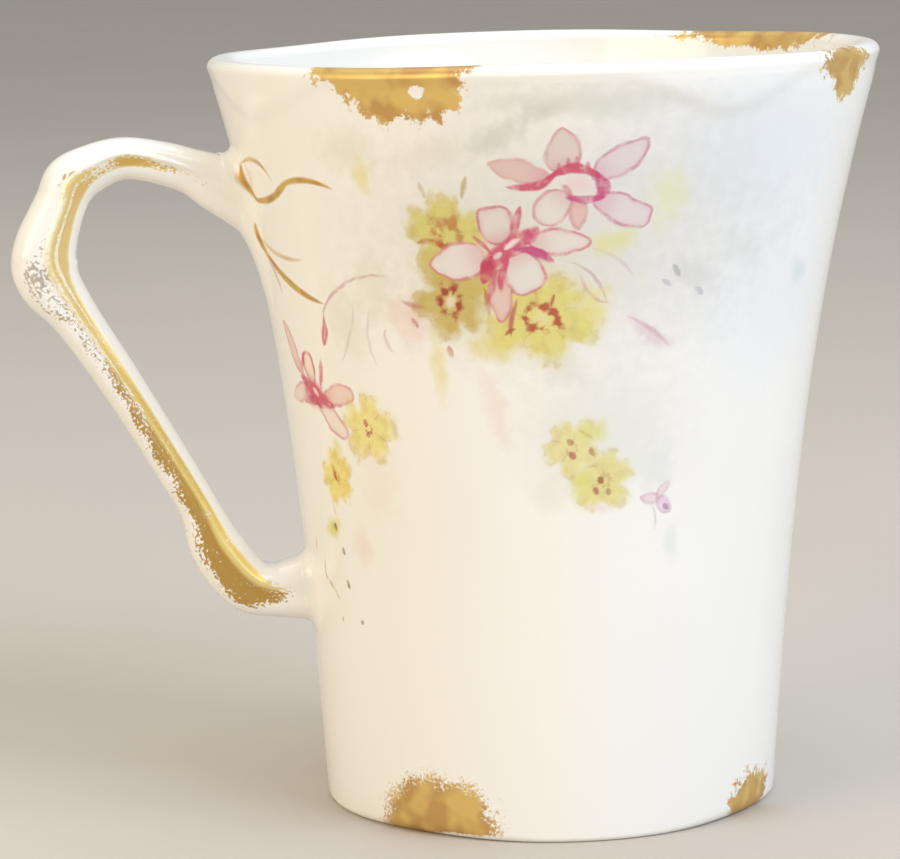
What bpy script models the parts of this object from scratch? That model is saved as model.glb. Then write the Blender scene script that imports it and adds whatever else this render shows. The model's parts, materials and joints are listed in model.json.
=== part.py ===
"""A porcelain chocolate cup: a slip-cast body with a lobed lip, and a twig-shaped handle luted to its side.

The cup stands on its foot ring at z = 0 with the handle towards -X. All lengths are metres.
The origin lies under the middle of the whole cup, handle included, on the surface that it stands on.
"""

import math

import bmesh
import bpy
from mathutils import Vector

# Body: the outer wall leans straight out and then flares like a tulip, up to a lip that stands upright.
CUP_HEIGHT = 0.078
BASE_RADIUS = 0.02335
WALL_LEAN = 0.00525
LIP_FLARE = 0.00625
LIP_UPRIGHT = 0.0045
WALL_THICKNESS = 0.0021

# Foot: a flat ring to stand on, round a shallow recess.
FLOOR_THICKNESS = 0.003
FLOOR_FILLET = 0.007
FOOT_RING_WIDTH = 0.0018
FOOT_RECESS = 0.0018
HEEL_RADIUS = 0.0006
PINCH_HEEL_RADIUS = 0.0016

# Lip: four lobes, with a pinch between each two, where the rim dips and draws in. It sank a little in the
# kiln on the side that carries the handle.
LOBES = 4
RIM_PINCH = 0.0008
RIM_DIP = 0.0002
RIM_SLUMP = 0.0008
PINCH_LENGTH = 0.014

# Bead: a low step round the lip, which hangs in a swag on each lobe.
LIP_BEAD = 0.0003
LIP_BEAD_DROP = 0.0015
LIP_BEAD_EDGE = 0.0018
SWAG_DROP = 0.0038
SWAG_TURN = math.radians(20)
SWAG_HALF_WIDTH = math.radians(21)

# Handle: its centre line keeps its distance from the wall, between two roots.
UPPER_ROOT_BELOW_RIM = 0.0143
LOWER_ROOT_HEIGHT = 0.0227
HANDLE_STANDOFF = 0.02184
STEM_WIDTH = 0.0050
STEM_DEPTH = 0.0060
GROOVE_DEPTH = 0.0006

# Luting: a thin pad of slip between each root and the wall, which spreads over the wall in a soft fillet.
# Below each root it runs down the wall in a tail.
SLIP_THICKNESS = 0.0008
SLIP_SPREAD = 0.0015
SLIP_KNEE = 0.0004
UPPER_TAIL = 0.0075
LOWER_TAIL = 0.0006
TAIL_LIFT = 0.0004
JOINT_GAP = 0.0003
ROOT_SEAT = SLIP_THICKNESS + 2 * JOINT_GAP

# How finely the surfaces are divided.
COLUMNS = 96
WALL_ROWS = 20
INNER_ROWS = 9
CLOSER_TO_LIP = 1.9
ROUND_STEPS = 4
SECTION_POINTS = 24
RINGS_PER_SPAN = 4
FILLET_STEPS = 4
SHARP_EDGE = math.radians(40)

# The handle's course from the upper root to the lower one. Each station gives the stand-off from the wall
# as a share of HANDLE_STANDOFF, the height as a share of the way up between the roots, the width and the
# depth as shares of the stem's, and the direction of the groove in degrees from the outer edge.
STATIONS = (
    (0.131, 1.046, 1.00, 1.04, 96),
    (0.295, 1.077, 0.87, 0.94, 104),
    (0.489, 1.092, 0.85, 0.92, 112),
    (0.645, 1.071, 0.96, 0.94, 120),
    (0.770, 1.038, 1.09, 1.02, 124),
    (0.845, 0.988, 1.04, 1.00, 122),
    (0.973, 0.881, 1.26, 1.08, 116),
    (1.000, 0.835, 1.35, 1.08, 113),
    (0.991, 0.792, 1.27, 1.06, 110),
    (0.913, 0.715, 0.99, 1.00, 108),
    (0.745, 0.542, 0.86, 0.94, 106),
    (0.547, 0.325, 0.82, 0.90, 100),
    (0.451, 0.216, 0.83, 0.92, 92),
    (0.379, 0.105, 1.12, 1.00, 84),
    (0.246, 0.014, 1.14, 1.02, 80),
    (0.124, -0.002, 1.10, 1.06, 84),
)
UPPER_ROOT_SHAPE = (1.64, 1.24, 90)
LOWER_ROOT_SHAPE = (1.28, 1.20, 90)
SECTION_SQUARENESS = 2.4
GROOVE_HALF_ANGLE = math.radians(34)
HANDLE_SIDE = math.pi

PORCELAIN = (0.93, 0.92, 0.88)
GILDED_PORCELAIN = (0.90, 0.86, 0.76)
FIRED_SLIP = (0.90, 0.89, 0.85)


def smooth_step(value):
    held = min(max(value, 0.0), 1.0)
    return held * held * (3 - 2 * held)


def pinch(angle):
    """1 at a pinch between two lobes, falling to 0 in the middle of a lobe."""
    wave = (1 - math.cos(LOBES * (angle - HANDLE_SIDE))) / 2
    return wave * wave


def rim_height(angle):
    to_handle = (1 + math.cos(angle - HANDLE_SIDE)) / 2
    return CUP_HEIGHT - RIM_DIP * pinch(angle) - RIM_SLUMP * to_handle ** 2


def wall_radius(angle, height):
    """The outer wall without the bead under its lip. Its flare dies out towards the lip."""
    into_lip = max(height - CUP_HEIGHT + LIP_UPRIGHT, 0.0)
    up = (height - into_lip ** 2 / (2 * LIP_UPRIGHT)) / CUP_HEIGHT
    near_rim = smooth_step(1 - (rim_height(angle) - height) / PINCH_LENGTH)
    return BASE_RADIUS + WALL_LEAN * up + LIP_FLARE * up ** 3 - RIM_PINCH * pinch(angle) * near_rim


def outer_radius(angle, height):
    """The outer wall with the bead round its lip and the bead's swags."""
    away = math.remainder(angle - HANDLE_SIDE - SWAG_TURN, 2 * math.pi / LOBES) / SWAG_HALF_WIDTH
    swag = math.cos(min(abs(away), 1.0) * math.pi / 2) ** 2
    bead_edge = rim_height(angle) - LIP_BEAD_DROP - SWAG_DROP * swag
    bead = smooth_step((height - bead_edge) / LIP_BEAD_EDGE + 0.5)
    return wall_radius(angle, height) + LIP_BEAD * bead


def arc(centre_r, centre_z, radius_r, radius_z, start, end, steps):
    """Points of a quarter or half ellipse in the section plane, both ends included."""
    for step in range(steps + 1):
        turn = math.radians(start + (end - start) * step / steps)
        yield centre_r + radius_r * math.cos(turn), centre_z + radius_z * math.sin(turn)


def body_section(angle):
    """The wall cut at one angle, from the recess under the foot, up the outside and down the inside."""
    lip_round = WALL_THICKNESS / 2
    lip_height = rim_height(angle) - lip_round
    heel = HEEL_RADIUS + (PINCH_HEEL_RADIUS - HEEL_RADIUS) * pinch(angle)
    heel_radius = outer_radius(angle, heel)
    foot_inner = BASE_RADIUS - max(HEEL_RADIUS, PINCH_HEEL_RADIUS) - FOOT_RING_WIDTH
    floor = FOOT_RECESS + FLOOR_THICKNESS

    points = [(foot_inner - FOOT_RECESS, FOOT_RECESS), (foot_inner, 0.0)]
    points += arc(heel_radius - heel, heel, heel, heel, -90, 0, ROUND_STEPS)
    for row in range(1, WALL_ROWS):
        share = 1 - (1 - row / WALL_ROWS) ** CLOSER_TO_LIP
        height = heel + (lip_height - heel) * share
        points.append((outer_radius(angle, height), height))
    lip_outer = outer_radius(angle, lip_height)
    lip_inner = wall_radius(angle, lip_height) - WALL_THICKNESS
    lip_middle = (lip_outer + lip_inner) / 2
    points += arc(lip_middle, lip_height, lip_outer - lip_middle, lip_round, 0, 180, 2 * ROUND_STEPS)
    fillet_top = floor + FLOOR_FILLET
    for row in range(1, INNER_ROWS):
        share = (row / INNER_ROWS) ** CLOSER_TO_LIP
        height = lip_height + (fillet_top - lip_height) * share
        points.append((wall_radius(angle, height) - WALL_THICKNESS, height))
    fillet_middle = wall_radius(angle, fillet_top) - WALL_THICKNESS - FLOOR_FILLET
    points += arc(fillet_middle, fillet_top, FLOOR_FILLET, FLOOR_FILLET, 0, -90, ROUND_STEPS)
    return points


def named_mesh(name, model, colour, roughness):
    """Turns a finished bmesh into a smooth object with its own material."""
    bmesh.ops.recalc_face_normals(model, faces=model.faces)
    mesh = bpy.data.meshes.new(name)
    model.to_mesh(mesh)
    model.free()
    mesh.shade_smooth()
    mesh.set_sharp_from_angle(angle=SHARP_EDGE)
    material = bpy.data.materials.new(name)
    material.use_nodes = True
    shader = material.node_tree.nodes["Principled BSDF"]
    shader.inputs["Base Color"].default_value = (*colour, 1)
    shader.inputs["Roughness"].default_value = roughness
    shader.inputs["Metallic"].default_value = 0
    mesh.materials.append(material)
    made = bpy.data.objects.new(name, mesh)
    bpy.context.scene.collection.objects.link(made)
    return made


def bridge(model, rings):
    """Joins each ring of vertices to the next with quads."""
    for low, high in zip(rings, rings[1:]):
        for side in range(len(low)):
            beside = (side + 1) % len(low)
            model.faces.new((low[side], low[beside], high[beside], high[side]))


def close_ring(model, ring, centre):
    """Closes a ring with a fan of triangles round one point."""
    middle = model.verts.new(centre)
    for side in range(len(ring)):
        model.faces.new((ring[side], ring[(side + 1) % len(ring)], middle))


def make_body():
    model = bmesh.new()
    angles = [2 * math.pi * column / COLUMNS for column in range(COLUMNS)]
    sections = [body_section(angle) for angle in angles]
    rings = []
    for row in range(len(sections[0])):
        ring = []
        for angle, section in zip(angles, sections):
            radius, height = section[row]
            ring.append(model.verts.new((radius * math.cos(angle), radius * math.sin(angle), height)))
        rings.append(ring)
    bridge(model, rings)
    close_ring(model, rings[0], (0, 0, FOOT_RECESS))
    close_ring(model, rings[-1], (0, 0, FOOT_RECESS + FLOOR_THICKNESS))
    return named_mesh("cup_body", model, PORCELAIN, 0.08)


def on_wall(across, height, offset):
    """The point beside the handle's side of the wall, at this offset from the glaze."""
    angle = HANDLE_SIDE
    for _ in range(3):
        radius = outer_radius(angle, height) + offset
        angle = HANDLE_SIDE - math.asin(across / radius)
    return Vector((radius * math.cos(angle), across, height))


def through_points(rows, steps):
    """A smooth curve through rows of numbers that each begin with a point, with this many steps for each span.
    It keeps its shape where the points lie close together."""
    spans = [math.sqrt(math.dist(row[:2], after[:2])) for row, after in zip(rows, rows[1:])]
    rates = [[(b - a) / span for a, b in zip(row, after)] for row, after, span in zip(rows, rows[1:], spans)]
    slopes = [rates[0]]
    for before, after, span, next_span in zip(rates, rates[1:], spans, spans[1:]):
        slopes.append([(a * next_span + b * span) / (span + next_span) for a, b in zip(before, after)])
    slopes.append(rates[-1])
    for row, after, slope, next_slope, span in zip(rows, rows[1:], slopes, slopes[1:], spans):
        for step in range(steps):
            t = step / steps
            yield tuple(
                a + t * t * (3 - 2 * t) * (b - a) + t * (1 - t) * span * ((1 - t) * m - t * n)
                for a, b, m, n in zip(row, after, slope, next_slope)
            )
    yield tuple(rows[-1])


def handle_course():
    """Reach from the cup's axis, height, half width, half depth and groove direction along the handle."""
    upper = CUP_HEIGHT - UPPER_ROOT_BELOW_RIM
    span = upper - LOWER_ROOT_HEIGHT
    rows = [(ROOT_SEAT, upper, *UPPER_ROOT_SHAPE)]
    for away, up, *shape in STATIONS:
        standoff = ROOT_SEAT + (HANDLE_STANDOFF - ROOT_SEAT) * away
        rows.append((standoff, LOWER_ROOT_HEIGHT + span * up, *shape))
    rows.append((ROOT_SEAT, LOWER_ROOT_HEIGHT, *LOWER_ROOT_SHAPE))
    course = []
    for away, height, wide, deep, groove in rows:
        reach = outer_radius(HANDLE_SIDE, height) + away
        course.append((reach, height, wide * STEM_WIDTH / 2, deep * STEM_DEPTH / 2, math.radians(groove)))
    return course


def section_outline(half_width, half_depth, groove):
    """Outward and sideways offsets round the twig: a rounded lozenge with a groove along each flank."""
    for point in range(SECTION_POINTS):
        turn = 2 * math.pi * point / SECTION_POINTS
        out, side = math.cos(turn), math.sin(turn)
        power = SECTION_SQUARENESS
        swell = (abs(out) ** power + abs(side) ** power) ** (-1 / power)
        from_groove = (abs(math.remainder(turn, 2 * math.pi)) - groove) / GROOVE_HALF_ANGLE
        cut = GROOVE_DEPTH * math.exp(-from_groove ** 2)
        yield (half_width * swell - cut) * out, (half_depth * swell - cut) * side


def make_handle(course):
    """Sweeps the twig's section along its course, and turns it parallel to the wall towards each root."""
    model = bmesh.new()
    path = list(through_points(course, RINGS_PER_SPAN))
    rings = []
    for index, (reach, height, half_width, half_depth, groove) in enumerate(path):
        ahead = path[min(index + 1, len(path) - 1)]
        behind = path[max(index - 1, 0)]
        heading = Vector((ahead[0] - behind[0], ahead[1] - behind[1])).normalized()
        from_root = min(index, len(path) - 1 - index) / RINGS_PER_SPAN
        seated = 1 - smooth_step(from_root)
        up_sign = 1 if index < len(path) / 2 else -1
        standoff = reach - outer_radius(HANDLE_SIDE, height)
        ring = []
        for out, side in section_outline(half_width, half_depth, groove):
            square = Vector((heading.y * out - reach, side, height + heading.x * out))
            ring.append(square.lerp(on_wall(side, height + up_sign * out, standoff), seated))
        rings.append([model.verts.new(point) for point in ring])
    bridge(model, rings)
    close_ring(model, rings[0], on_wall(0.0, course[0][1], ROOT_SEAT))
    close_ring(model, rings[-1], on_wall(0.0, course[-1][1], ROOT_SEAT))
    return named_mesh("handle", model, GILDED_PORCELAIN, 0.14)


def make_slip_joint(name, root, tail):
    """A pad with the root's outline, spreading towards the wall in a hollow fillet with a tail below it."""
    _, height, half_width, half_depth, groove = root
    model = bmesh.new()
    rings = []
    for step in range(FILLET_STEPS + 1):
        t = step / FILLET_STEPS
        grow = (1 - t) ** 2 * SLIP_SPREAD + 2 * t * (1 - t) * SLIP_KNEE
        offset = JOINT_GAP + SLIP_THICKNESS * t ** 2
        ring = []
        for out, side in section_outline(half_width + grow, half_depth + grow, groove):
            below = max(-out / (half_width + grow), 0.0)
            lift = 2 * t * (1 - t) * TAIL_LIFT * below * min(tail / UPPER_TAIL, 1.0)
            run = tail * (1 - t) ** 2 * below ** 1.5
            ring.append(model.verts.new(on_wall(side, height + out - run, offset + lift)))
        rings.append(ring)
    bridge(model, rings)
    close_ring(model, rings[0], on_wall(0.0, height, JOINT_GAP))
    close_ring(model, rings[-1], on_wall(0.0, height, JOINT_GAP + SLIP_THICKNESS))
    return named_mesh(name, model, FIRED_SLIP, 0.2)


def stand_over_origin(pieces):
    """Moves the whole cup along X until the origin lies under its middle."""
    across = [corner.co.x for piece in pieces for corner in piece.data.vertices]
    middle = (min(across) + max(across)) / 2
    for piece in pieces:
        for corner in piece.data.vertices:
            corner.co.x -= middle


for old in list(bpy.data.objects):
    bpy.data.objects.remove(old, do_unlink=True)

course = handle_course()
cup = [
    make_body(),
    make_handle(course),
    make_slip_joint("upper_slip_joint", course[0], UPPER_TAIL),
    make_slip_joint("lower_slip_joint", course[-1], LOWER_TAIL),
]
stand_over_origin(cup)
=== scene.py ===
import json
import math

import bpy
from mathutils import Matrix, Vector


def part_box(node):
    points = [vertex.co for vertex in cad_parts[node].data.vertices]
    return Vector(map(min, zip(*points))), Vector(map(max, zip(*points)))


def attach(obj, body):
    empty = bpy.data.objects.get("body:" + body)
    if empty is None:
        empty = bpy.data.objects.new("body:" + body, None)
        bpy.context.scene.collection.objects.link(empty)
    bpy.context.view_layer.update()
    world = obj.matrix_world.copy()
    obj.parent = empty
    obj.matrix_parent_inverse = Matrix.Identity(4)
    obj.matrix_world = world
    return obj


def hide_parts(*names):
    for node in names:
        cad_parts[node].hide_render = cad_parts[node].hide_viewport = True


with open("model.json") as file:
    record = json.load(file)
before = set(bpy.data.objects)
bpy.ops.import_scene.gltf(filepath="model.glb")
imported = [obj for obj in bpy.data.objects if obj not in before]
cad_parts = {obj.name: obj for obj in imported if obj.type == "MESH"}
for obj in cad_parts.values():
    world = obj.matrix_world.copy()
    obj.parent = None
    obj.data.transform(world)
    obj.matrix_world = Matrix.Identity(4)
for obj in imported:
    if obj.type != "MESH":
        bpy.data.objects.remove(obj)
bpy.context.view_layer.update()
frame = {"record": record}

# Cup body: hard-paste porcelain, slip-cast in a plaster mould, so that its wall is thin and even. It flares
# to a lip with four soft lobes and four swags, and it stands on a foot ring that is ground bare of glaze.
FOOT_MOUNT = frame["record"]["mounts"][0]
AXIS_X = FOOT_MOUNT["pos_m"][0]
CUP_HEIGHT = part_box("cup_body")[1].z
# A hundredth of a millimetre under the solid's, so that the rounder wall here stays inside the solid's box
BASE_RADIUS = 0.02334
WALL_LEAN = 0.00525
LIP_FLARE = 0.00625
WALL_THICKNESS = 0.0021
FLOOR_THICKNESS = 0.003
FLOOR_FILLET = 0.007
FOOT_RING_WIDTH = 0.0018
FOOT_RECESS = 0.0018
FOOT_FLAT = FOOT_RECESS / 20
HEEL_RADIUS = 0.0006
PINCH_HEEL_RADIUS = 0.0016
LOBES = 4
RIM_PINCH = 0.0008
RIM_DIP = 0.0002
RIM_SLUMP = 0.0008
PINCH_LENGTH = 0.014
LIP_UPRIGHT = 0.0045
LIP_BEAD = 0.00030
LIP_BEAD_DROP = 0.0015
LIP_BEAD_EDGE = 0.0018
SWAG_DROP = 0.0038
SWAG_TURN = math.radians(20)
SWAG_HALF_WIDTH = math.radians(21)
HANDLE_SIDE = math.pi

BODY_COLUMNS = 216
WALL_ROWS = 110
INNER_ROWS = 60
CLOSER_TO_LIP = 1.5
ROUND_STEPS = 10
FLOOR_RINGS = 8
SHARP_EDGE = math.radians(50)


def smooth_step(value):
    held = min(max(value, 0.0), 1.0)
    return held * held * (3 - 2 * held)


def pinch(angle):
    """1 at a pinch between two lobes of the lip, falling to 0 in the middle of a lobe."""
    wave = (1 - math.cos(LOBES * (angle - HANDLE_SIDE))) / 2
    return wave * wave


def rim_height(angle):
    """The lip dips a little at each pinch, and it sank in the kiln on the side that carries the handle."""
    to_handle = (1 + math.cos(angle - HANDLE_SIDE)) / 2
    return CUP_HEIGHT - RIM_DIP * pinch(angle) - RIM_SLUMP * to_handle ** 2


def wall_radius(angle, height):
    """The outer wall without the bead under its lip. Its flare dies out below the lip, which is upright."""
    into_lip = max(height - CUP_HEIGHT + LIP_UPRIGHT, 0.0)
    up = (height - into_lip ** 2 / (2 * LIP_UPRIGHT)) / CUP_HEIGHT
    near_rim = smooth_step(1 - (rim_height(angle) - height) / PINCH_LENGTH)
    return BASE_RADIUS + WALL_LEAN * up + LIP_FLARE * up ** 3 - RIM_PINCH * pinch(angle) * near_rim


def outer_radius(angle, height):
    """The outer wall with the bead round its lip, which hangs in a swag on each lobe."""
    away = math.remainder(angle - HANDLE_SIDE - SWAG_TURN, 2 * math.pi / LOBES) / SWAG_HALF_WIDTH
    swag = math.cos(min(abs(away), 1.0) * math.pi / 2) ** 2
    bead_edge = rim_height(angle) - LIP_BEAD_DROP - SWAG_DROP * swag
    bead = smooth_step((height - bead_edge) / LIP_BEAD_EDGE + 0.5)
    return wall_radius(angle, height) + LIP_BEAD * bead


def arc(centre_r, centre_z, radius_r, radius_z, start, end, steps):
    """Points of a quarter or half ellipse in the section plane, both ends included."""
    for step in range(steps + 1):
        turn = math.radians(start + (end - start) * step / steps)
        yield centre_r + radius_r * math.cos(turn), centre_z + radius_z * math.sin(turn)


def body_section(angle):
    """The wall cut at one angle, in three stretches: under the foot, outside to the crest, and inside."""
    lip_round = WALL_THICKNESS / 2
    lip_height = rim_height(angle) - lip_round
    heel = HEEL_RADIUS + (PINCH_HEEL_RADIUS - HEEL_RADIUS) * pinch(angle)
    heel_middle = outer_radius(angle, heel) - heel
    foot_inner = BASE_RADIUS - max(HEEL_RADIUS, PINCH_HEEL_RADIUS) - FOOT_RING_WIDTH
    floor = FOOT_RECESS + FLOOR_THICKNESS

    recess_edge = foot_inner - FOOT_RECESS
    under = [(recess_edge * ring / FLOOR_RINGS, FOOT_RECESS) for ring in range(1, FLOOR_RINGS)]
    under += arc(recess_edge, 0.0, FOOT_RECESS, FOOT_RECESS, 90, 0, ROUND_STEPS // 2)
    under.append(((foot_inner + heel_middle) / 2, 0.0))

    outside = list(arc(heel_middle, heel, heel, heel, -90, 0, ROUND_STEPS))
    for row in range(1, WALL_ROWS):
        share = 1 - (1 - row / WALL_ROWS) ** CLOSER_TO_LIP
        height = heel + (lip_height - heel) * share
        outside.append((outer_radius(angle, height), height))
    lip_outer = outer_radius(angle, lip_height)
    lip_inner = wall_radius(angle, lip_height) - WALL_THICKNESS
    lip_middle = (lip_outer + lip_inner) / 2
    outside += arc(lip_middle, lip_height, lip_outer - lip_middle, lip_round, 0, 90, ROUND_STEPS)

    inside = list(arc(lip_middle, lip_height, lip_middle - lip_inner, lip_round, 90, 180, ROUND_STEPS))[1:]
    fillet_top = floor + FLOOR_FILLET
    for row in range(1, INNER_ROWS):
        share = (row / INNER_ROWS) ** CLOSER_TO_LIP
        height = lip_height + (fillet_top - lip_height) * share
        inside.append((wall_radius(angle, height) - WALL_THICKNESS, height))
    fillet_middle = wall_radius(angle, fillet_top) - WALL_THICKNESS - FLOOR_FILLET
    inside += arc(fillet_middle, fillet_top, FLOOR_FILLET, FLOOR_FILLET, 0, -90, ROUND_STEPS)
    inside += [(fillet_middle * ring / FLOOR_RINGS, floor) for ring in range(FLOOR_RINGS - 1, 0, -1)]
    return under, outside, inside


def lofted_piece(name, rings, first_middle, last_middle):
    """A closed smooth mesh through rings of points, each end closed on one point. Its faces come in the order
    of the rings."""
    count = len(rings[0])
    points = [point for ring in rings for point in ring] + [first_middle, last_middle]
    faces = []
    for row in range(len(rings) - 1):
        for side in range(count):
            beside = (side + 1) % count
            low, high = row * count, (row + 1) * count
            faces.append((low + side, low + beside, high + beside, high + side))
    last = (len(rings) - 1) * count
    for side in range(count):
        beside = (side + 1) % count
        faces.append((beside, side, len(points) - 2))
        faces.append((last + side, last + beside, len(points) - 1))
    mesh = bpy.data.meshes.new(name)
    mesh.from_pydata(points, [], faces)
    mesh.shade_smooth()
    mesh.set_sharp_from_angle(angle=SHARP_EDGE)
    piece = bpy.data.objects.new(name, mesh)
    bpy.context.scene.collection.objects.link(piece)
    return piece


body_angles = [2 * math.pi * column / BODY_COLUMNS for column in range(BODY_COLUMNS)]
body_sections = [body_section(angle) for angle in body_angles]
under_rows, outside_rows, inside_rows = (len(stretch) for stretch in body_sections[0])
body_rings = []
for row in range(under_rows + outside_rows + inside_rows):
    ring = []
    for angle, (under, outside, inside) in zip(body_angles, body_sections):
        radius, height = (under + outside + inside)[row]
        ring.append((AXIS_X + radius * math.cos(angle), radius * math.sin(angle), height))
    body_rings.append(ring)
cup_body = lofted_piece(
    "porcelain_body",
    body_rings,
    (AXIS_X, 0, FOOT_RECESS),
    (AXIS_X, 0, FOOT_RECESS + FLOOR_THICKNESS),
)
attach(cup_body, "root")
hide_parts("cup_body")


# Decoration of the body: flower sprays in overglaze enamels, drawn here mark by mark with a few brushes, and
# gilding dabbed on with a sponge. Both are fired on at a low heat and lie on the glaze as thin films.
# Marks are placed in millimetres on the unrolled wall: across from the middle of the decorated front, and up.
COLOUR, VECTOR, NUMBER = "NodeSocketColor", "NodeSocketVector", "NodeSocketFloat"
SMOOTH = {"interpolation_type": "SMOOTHSTEP"}
MILLIMETRES = 1000


def linear(hex_colour):
    """An sRGB colour such as #F3F0E6 as the linear RGBA that shaders take."""
    channels = [int(hex_colour[start:start + 2], 16) / 255 for start in (1, 3, 5)]
    return (*(c / 12.92 if c <= 0.04045 else ((c + 0.055) / 1.055) ** 2.4 for c in channels), 1.0)


def feed(tree, node, inputs):
    """Links or sets a node's inputs, which are nodes, sockets or constants, in order or by name."""
    for key, value in inputs.items() if isinstance(inputs, dict) else enumerate(inputs):
        if isinstance(value, bpy.types.Node):
            value = value.outputs[0]
        if isinstance(value, bpy.types.NodeSocket):
            tree.links.new(value, node.inputs[key])
        else:
            node.inputs[key].default_value = value


def add(tree, kind, inputs=(), **settings):
    """Adds a shader node, its kind given without that prefix, with its settings and its inputs."""
    node = tree.nodes.new(kind if kind.startswith("NodeGroup") else "ShaderNode" + kind)
    for name, value in settings.items():
        setattr(node, name, value)
    feed(tree, node, inputs)
    return node


def brush(name, **sockets):
    """Starts a node group that lays one mark over the paint below it, with the sockets this brush needs."""
    tree = bpy.data.node_groups.new(name, "ShaderNodeTree")
    common = {
        "Paint": COLOUR, "Point": VECTOR, "Grain": NUMBER, "Place": VECTOR, "Turn": VECTOR, "Size": VECTOR}
    for socket, kind in {**common, **sockets}.items():
        tree.interface.new_socket(socket, in_out="INPUT", socket_type=kind)
    tree.interface.new_socket("Paint", in_out="OUTPUT", socket_type=COLOUR)
    given = add(tree, "NodeGroupInput").outputs
    local = add(tree, "Mapping", vector_type="TEXTURE", inputs={
        "Vector": given["Point"], "Location": given["Place"], "Rotation": given["Turn"],
        "Scale": given["Size"]})
    return tree, given, local


# A petal: a soft fill, a broken ink outline and a blush from its root, along X from 0 at the root to 1 at
# the tip
PETAL, given, local = brush(
    "petal", Belly=NUMBER, Blunt=NUMBER, Bend=NUMBER, Fill=COLOUR, Cover=NUMBER, Ink=COLOUR, Line=NUMBER,
    Blush=NUMBER)
parts = add(PETAL, "SeparateXYZ", (local,))
along, beside = parts.outputs["X"], parts.outputs["Y"]
size = add(PETAL, "SeparateXYZ", (given["Size"],))
held = add(PETAL, "Clamp", (along,))
lens = add(PETAL, "Math", (held, given["Belly"]), operation="POWER")
lens = add(PETAL, "Math", (lens, 2.0, -1.0), operation="MULTIPLY_ADD")
lens = add(PETAL, "Math", (lens, lens), operation="MULTIPLY")
lens = add(PETAL, "Math", (1.0, lens), operation="SUBTRACT")
width = add(PETAL, "Math", (lens, given["Blunt"]), operation="POWER")
square = add(PETAL, "Math", (along, along), operation="MULTIPLY")
curl = add(PETAL, "Math", (along, square), operation="SUBTRACT")
side = add(PETAL, "Math", (curl, given["Bend"], beside), operation="MULTIPLY_ADD")
side = add(PETAL, "Math", (side,), operation="ABSOLUTE")
within = add(PETAL, "Math", (width, side), operation="SUBTRACT")
edge = add(PETAL, "Math", (within, size.outputs["Y"]), operation="MULTIPLY")
to_tip = add(PETAL, "Math", (1.0, along), operation="SUBTRACT")
to_tip = add(PETAL, "Math", (to_tip, size.outputs["X"]), operation="MULTIPLY")
to_root = add(PETAL, "Math", (along, size.outputs["X"]), operation="MULTIPLY")
edge = add(PETAL, "Math", (edge, to_tip, 0.7), operation="SMOOTH_MIN")
edge = add(PETAL, "Math", (edge, to_root), operation="MINIMUM")
fill = add(PETAL, "MapRange", (edge, -0.05, 0.30, 0.0, given["Cover"]), **SMOOTH)
band = add(PETAL, "Math", (edge, 0.14), operation="SUBTRACT")
band = add(PETAL, "Math", (band,), operation="ABSOLUTE")
line = add(PETAL, "MapRange", (band, 0.06, 0.26, given["Line"], 0.0), **SMOOTH)
broken = add(PETAL, "MapRange", (given["Grain"], 0.36, 0.56, 0.35, 1.0))
line = add(PETAL, "Math", (line, broken), operation="MULTIPLY")
shade = add(PETAL, "MapRange", (edge, 0.0, 0.9, 0.34, 0.0), **SMOOTH)
blush = add(PETAL, "MapRange", (along, 0.0, 0.55, given["Blush"], 0.0), **SMOOTH)
shade = add(PETAL, "Math", (shade, given["Line"]), operation="MULTIPLY")
shade = add(PETAL, "Math", (shade, blush), operation="MAXIMUM")
shade = add(PETAL, "Math", (shade, fill), operation="MULTIPLY")
paint = add(PETAL, "MixRGB", (fill, given["Paint"], given["Fill"]))
paint = add(PETAL, "MixRGB", (shade, paint, given["Ink"]))
paint = add(PETAL, "MixRGB", (line, paint, given["Ink"]))
add(PETAL, "NodeGroupOutput", (paint,))

# A stroke: a line that swells and thins out to both ends, along X from -1 to 1. It is bowed by Bend
# millimetres in its middle, and Sway bends its two halves to opposite sides
STROKE, given, local = brush(
    "stroke", Width=NUMBER, Bend=NUMBER, Sway=NUMBER, Soft=NUMBER, Tint=COLOUR, Cover=NUMBER)
parts = add(STROKE, "SeparateXYZ", (local,))
along, beside = parts.outputs["X"], parts.outputs["Y"]
taper = add(STROKE, "Math", (along, along), operation="MULTIPLY")
taper = add(STROKE, "Math", (1.0, taper), operation="SUBTRACT")
bow = add(STROKE, "Math", (along, given["Sway"], given["Bend"]), operation="MULTIPLY_ADD")
bow = add(STROKE, "Math", (taper, bow), operation="MULTIPLY")
side = add(STROKE, "Math", (beside, bow), operation="SUBTRACT")
side = add(STROKE, "Math", (side,), operation="ABSOLUTE")
blunt = add(STROKE, "Math", (taper,), operation="ABSOLUTE")
blunt = add(STROKE, "Math", (blunt, 0.05), operation="ADD")
blunt = add(STROKE, "Math", (blunt, 0.4), operation="POWER")
blunt = add(STROKE, "Math", (taper, blunt), operation="DIVIDE")
reach = add(STROKE, "Math", (blunt, given["Width"]), operation="MULTIPLY")
edge = add(STROKE, "Math", (reach, side), operation="SUBTRACT")
edge = add(STROKE, "Math", (edge, given["Soft"]), operation="DIVIDE")
cover = add(STROKE, "MapRange", (edge, -0.5, 0.5, 0.0, given["Cover"]), **SMOOTH)
broken = add(STROKE, "MapRange", (given["Grain"], 0.34, 0.54, 0.45, 1.0))
cover = add(STROKE, "Math", (cover, broken), operation="MULTIPLY")
paint = add(STROKE, "MixRGB", (cover, given["Paint"], given["Tint"]))
add(STROKE, "NodeGroupOutput", (paint,))

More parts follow.
